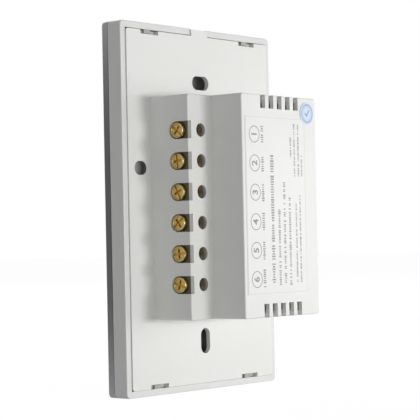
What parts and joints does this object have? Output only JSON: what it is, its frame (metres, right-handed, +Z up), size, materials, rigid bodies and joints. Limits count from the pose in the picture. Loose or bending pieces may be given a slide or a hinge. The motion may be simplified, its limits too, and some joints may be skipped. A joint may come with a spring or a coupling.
{
  "type": "smart touch switch",
  "caption": "Touch wall switch with a dark glass front, white cover frame, stepped rear box and a row of screw terminals.",
  "frame": {"origin": "middle of the face of the base plate that lies on the wall", "axes": "+Z up along the long side, +Y into the wall, +X towards the terminal side; the glass faces -Y"},
  "size_m": [0.0742, 0.0365, 0.1166],
  "materials": {
    "black_glass": "polished, dark all through",
    "tape": "matt grey foam tape",
    "white_frame": "fine satin moulding",
    "white_housing": "fine satin moulding",
    "green_board": "solder mask over copper tracks",
    "steel": "bright plated",
    "spring_steel": "bright drawn wire",
    "led": "clear moulding over a die",
    "light_guide": "clear moulding",
    "black_chip": "fine matt moulding",
    "black_plastic": "satin moulding",
    "relay_case": "satin moulding",
    "ferrite": "fine sintered grain",
    "winding_tape": "smooth wrapped tape",
    "capacitor_sleeve": "shrunk sleeve",
    "film_case": "smooth dipped coating",
    "varistor_coat": "smooth dipped coating",
    "fuse_sleeve": "ceramic-like sleeve",
    "shield_tin": "tinned sheet",
    "blue_board": "solder mask over copper tracks",
    "terminal_plastic": "satin moulding",
    "cage_metal": "plated, slightly dull",
    "screw_brass": "turned, slightly dull",
    "label_paper": "smooth printed sheet",
    "sticker_paper": "smooth printed sheet"
  },
  "bodies": {
    "housing": {"rear_housing": "white_housing", "power_board": "green_board", "touch_board": "green_board", "power_board_screws": "steel", "touch_board_screws": "steel", "touch_springs": "spring_steel", "status_leds": "led", "light_guides": "light_guide", "touch_chip": "black_chip", "board_header": "black_plastic", "board_socket": "black_plastic", "relays": "relay_case", "transformer_core": "ferrite", "transformer_winding": "winding_tape", "bulk_capacitor": "capacitor_sleeve", "film_capacitor": "film_case", "varistor": "varistor_coat", "fuse": "fuse_sleeve", "bridge_rectifier": "black_chip", "wireless_board": "blue_board", "wireless_shield": "shield_tin", "radio_antenna": "spring_steel", "terminal_blocks": "terminal_plastic", "terminal_cages": "cage_metal", "rating_label": "label_paper", "inspection_sticker": "sticker_paper"},
    "front_cover": {"glass_panel": "black_glass", "glass_adhesive": "tape", "front_frame": "white_frame", "snap_hooks": "white_frame"},
    "clamp_1": {"clamp_shoe_1": "steel"},
    "screw_1": {"terminal_screw_1": "screw_brass"},
    "clamp_2": {"clamp_shoe_2": "steel"},
    "screw_2": {"terminal_screw_2": "screw_brass"},
    "clamp_3": {"clamp_shoe_3": "steel"},
    "screw_3": {"terminal_screw_3": "screw_brass"},
    "clamp_4": {"clamp_shoe_4": "steel"},
    "screw_4": {"terminal_screw_4": "screw_brass"},
    "clamp_5": {"clamp_shoe_5": "steel"},
    "screw_5": {"terminal_screw_5": "screw_brass"},
    "clamp_6": {"clamp_shoe_6": "steel"},
    "screw_6": {"terminal_screw_6": "screw_brass"}
  },
  "joints": [
    {"name": "cover_pull", "type": "slide", "parent": "housing", "child": "front_cover", "axis": [0, -1, 0], "range_m": [0, 0.01], "deforming": ["snap_hooks"]},
    {"name": "clamp_travel_1", "type": "slide", "parent": "housing", "child": "clamp_1", "axis": [-1, 0, 0], "range_m": [0, 0.0016]},
    {"name": "screw_turn_1", "type": "hinge", "parent": "clamp_1", "child": "screw_1", "pos_m": [0.0186, 0.0103, 0.02397], "axis": [-1, 0, 0], "range_deg": [0, 1152]},
    {"name": "clamp_travel_2", "type": "slide", "parent": "housing", "child": "clamp_2", "axis": [-1, 0, 0], "range_m": [0, 0.0016]},
    {"name": "screw_turn_2", "type": "hinge", "parent": "clamp_2", "child": "screw_2", "pos_m": [0.0186, 0.0103, 0.01443], "axis": [-1, 0, 0], "range_deg": [0, 1152]},
    {"name": "clamp_travel_3", "type": "slide", "parent": "housing", "child": "clamp_3", "axis": [-1, 0, 0], "range_m": [0, 0.0016]},
    {"name": "screw_turn_3", "type": "hinge", "parent": "clamp_3", "child": "screw_3", "pos_m": [0.0186, 0.0103, 0.00487], "axis": [-1, 0, 0], "range_deg": [0, 1152]},
    {"name": "clamp_travel_4", "type": "slide", "parent": "housing", "child": "clamp_4", "axis": [-1, 0, 0], "range_m": [0, 0.0016]},
    {"name": "screw_turn_4", "type": "hinge", "parent": "clamp_4", "child": "screw_4", "pos_m": [0.0186, 0.0103, -0.00468], "axis": [-1, 0, 0], "range_deg": [0, 1152]},
    {"name": "clamp_travel_5", "type": "slide", "parent": "housing", "child": "clamp_5", "axis": [-1, 0, 0], "range_m": [0, 0.0016]},
    {"name": "screw_turn_5", "type": "hinge", "parent": "clamp_5", "child": "screw_5", "pos_m": [0.0186, 0.0103, -0.01422], "axis": [-1, 0, 0], "range_deg": [0, 1152]},
    {"name": "clamp_travel_6", "type": "slide", "parent": "housing", "child": "clamp_6", "axis": [-1, 0, 0], "range_m": [0, 0.0016]},
    {"name": "screw_turn_6", "type": "hinge", "parent": "clamp_6", "child": "screw_6", "pos_m": [0.0186, 0.0103, -0.02378], "axis": [-1, 0, 0], "range_deg": [0, 1152]}
  ],
  "couplings": [
    {"joint": "screw_turn_1", "follows": "clamp_travel_1", "rad_per_m": 12566},
    {"joint": "screw_turn_2", "follows": "clamp_travel_2", "rad_per_m": 12566},
    {"joint": "screw_turn_3", "follows": "clamp_travel_3", "rad_per_m": 12566},
    {"joint": "screw_turn_4", "follows": "clamp_travel_4", "rad_per_m": 12566},
    {"joint": "screw_turn_5", "follows": "clamp_travel_5", "rad_per_m": 12566},
    {"joint": "screw_turn_6", "follows": "clamp_travel_6", "rad_per_m": 12566}
  ]
}
